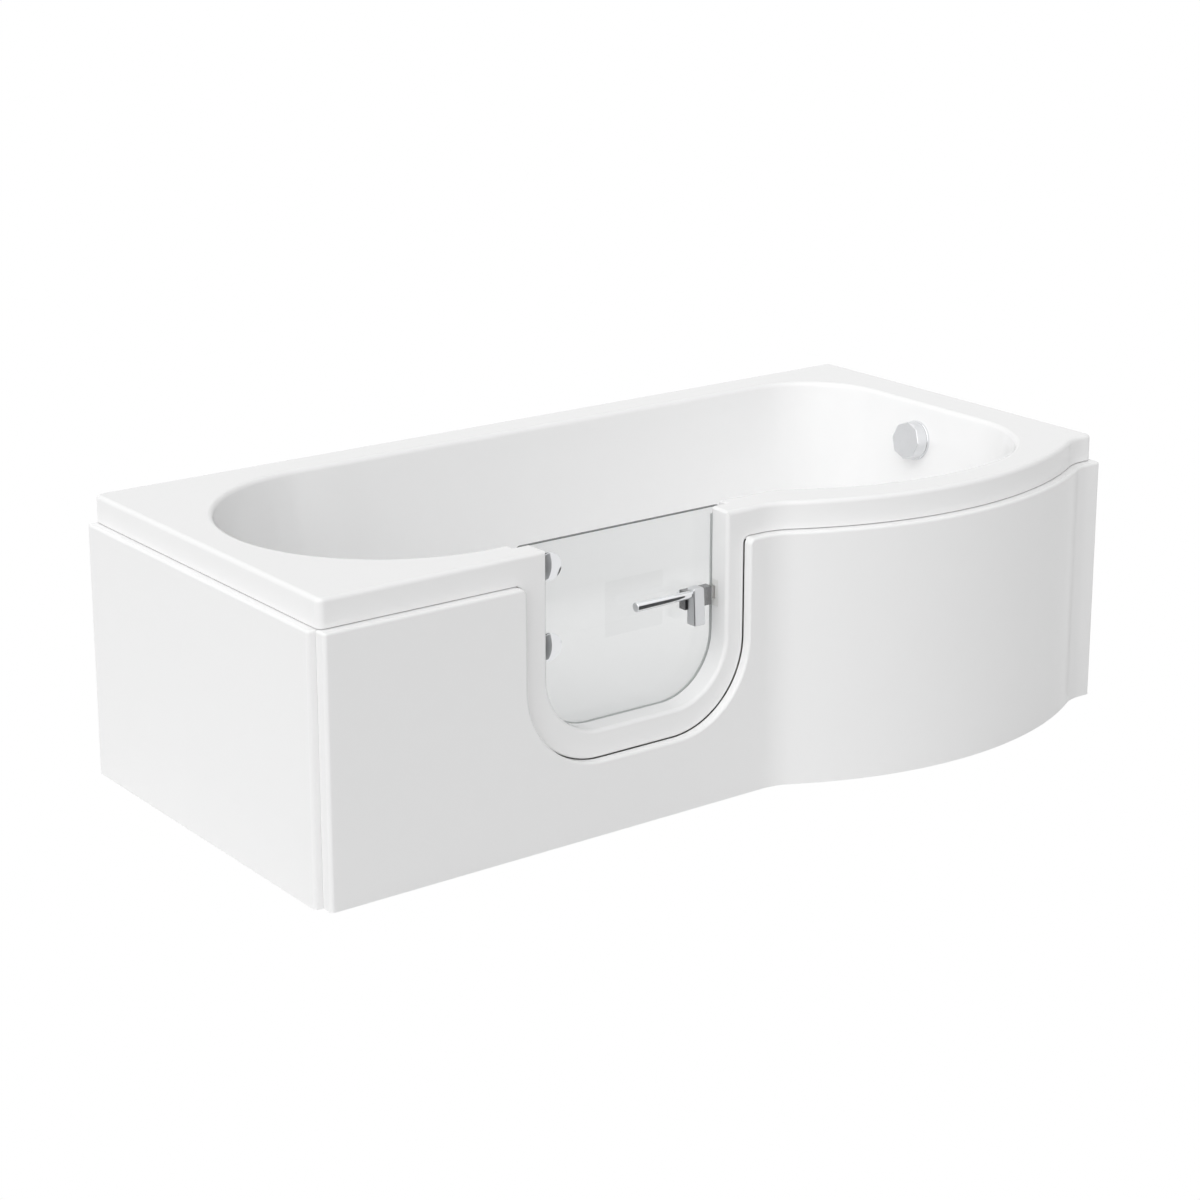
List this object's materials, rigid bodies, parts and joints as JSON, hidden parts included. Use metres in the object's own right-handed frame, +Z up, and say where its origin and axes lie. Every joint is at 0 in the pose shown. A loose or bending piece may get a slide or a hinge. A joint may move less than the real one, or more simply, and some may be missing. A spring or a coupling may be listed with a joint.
{
  "type": "walk-in bath",
  "caption": "P-shaped acrylic bath with a bowed front, panels, an inward opening glass door with a turning latch, a knob that lifts the waste plug, and a steel underframe on levelling feet.",
  "frame": {"origin": "under the middle of the whole object's box, on the floor", "axes": "+X along the bath from the backrest to the waste end, +Y towards the wall side, +Z up"},
  "size_m": [1.7216, 0.871, 0.515],
  "materials": {
    "white_acrylic": "gloss",
    "door_glass": "clear",
    "clear_silicone": "satin",
    "chrome": "polished",
    "satin_metal": "satin",
    "steel": "turned",
    "black_rubber": "matt",
    "white_nylon": "moulded",
    "zinc_plated_steel": "galvanised",
    "plywood": "raw"
  },
  "bodies": {
    "root": {"bath_shell": "white_acrylic", "door_surround": "white_acrylic", "front_panel": "white_acrylic", "end_panel": "white_acrylic", "hinge_bracket_upper": "chrome", "hinge_bracket_lower": "chrome", "hinge_bracket_screws": "chrome", "waste_flange": "chrome", "overflow_rose": "chrome", "hinge_pin_upper": "steel", "hinge_pin_lower": "steel", "lock_nuts": "steel", "foot_screw_left_front": "steel", "foot_screw_left_back": "steel", "foot_screw_middle_front": "steel", "foot_screw_middle_back": "steel", "foot_screw_right_front": "steel", "foot_screw_right_back": "steel", "control_cable": "black_rubber", "foot_pad_left_front": "black_rubber", "foot_pad_left_back": "black_rubber", "foot_pad_middle_front": "black_rubber", "foot_pad_middle_back": "black_rubber", "foot_pad_right_front": "black_rubber", "foot_pad_right_back": "black_rubber", "strike_plate": "white_nylon", "waste_body": "white_nylon", "trap": "white_nylon", "overflow_body": "white_nylon", "overflow_tube": "white_nylon", "frame_rail_front": "zinc_plated_steel", "frame_rail_back": "zinc_plated_steel", "cross_member_left": "zinc_plated_steel", "cross_member_middle": "zinc_plated_steel", "cross_member_right": "zinc_plated_steel", "rim_posts_front": "zinc_plated_steel", "rim_posts_back": "zinc_plated_steel", "panel_clips": "zinc_plated_steel", "wall_bracket_left": "zinc_plated_steel", "wall_bracket_right": "zinc_plated_steel", "hinge_backing_plate": "zinc_plated_steel", "base_board": "plywood", "door_stiffener": "plywood"},
    "door": {"door_glass": "door_glass", "door_seal": "clear_silicone", "hinge_caps": "chrome", "hinge_washers": "black_rubber", "hinge_leaf_upper": "chrome", "hinge_leaf_lower": "chrome", "hinge_screws": "steel", "latch_housing": "chrome", "latch_bush": "white_nylon"},
    "latch": {"latch_lever": "satin_metal", "handle_bar": "chrome", "latch_spindle": "steel", "latch_inner_knob": "chrome"},
    "bolt": {"latch_bolt": "chrome"},
    "knob": {"control_knob": "chrome"},
    "plug": {"waste_plug": "chrome"}
  },
  "joints": [
    {"name": "door_swing", "type": "hinge", "parent": "root", "child": "door", "pos_m": [-0.45625, -0.2305, 0.4], "axis": [0, 0, 1], "range_deg": [0, 95]},
    {"name": "latch_turn", "type": "hinge", "parent": "door", "child": "latch", "pos_m": [-0.08525, -0.2645, 0.36], "axis": [0, 1, 0], "range_deg": [0, 90]},
    {"name": "bolt_slide", "type": "slide", "parent": "door", "child": "bolt", "axis": [1, 0, 0], "range_m": [0, 0.014]},
    {"name": "knob_turn", "type": "hinge", "parent": "root", "child": "knob", "pos_m": [0.75346, 0.0605, 0.441], "axis": [-0.9896, 0, 0.1437], "range_deg": [0, 90]},
    {"name": "plug_lift", "type": "slide", "parent": "root", "child": "plug", "axis": [0, 0, 1], "range_m": [0, 0.01]}
  ],
  "couplings": [
    {"joint": "bolt_slide", "follows": "latch_turn", "m_per_rad": 0.0089126},
    {"joint": "plug_lift", "follows": "knob_turn", "m_per_rad": 0.0063661}
  ]
}
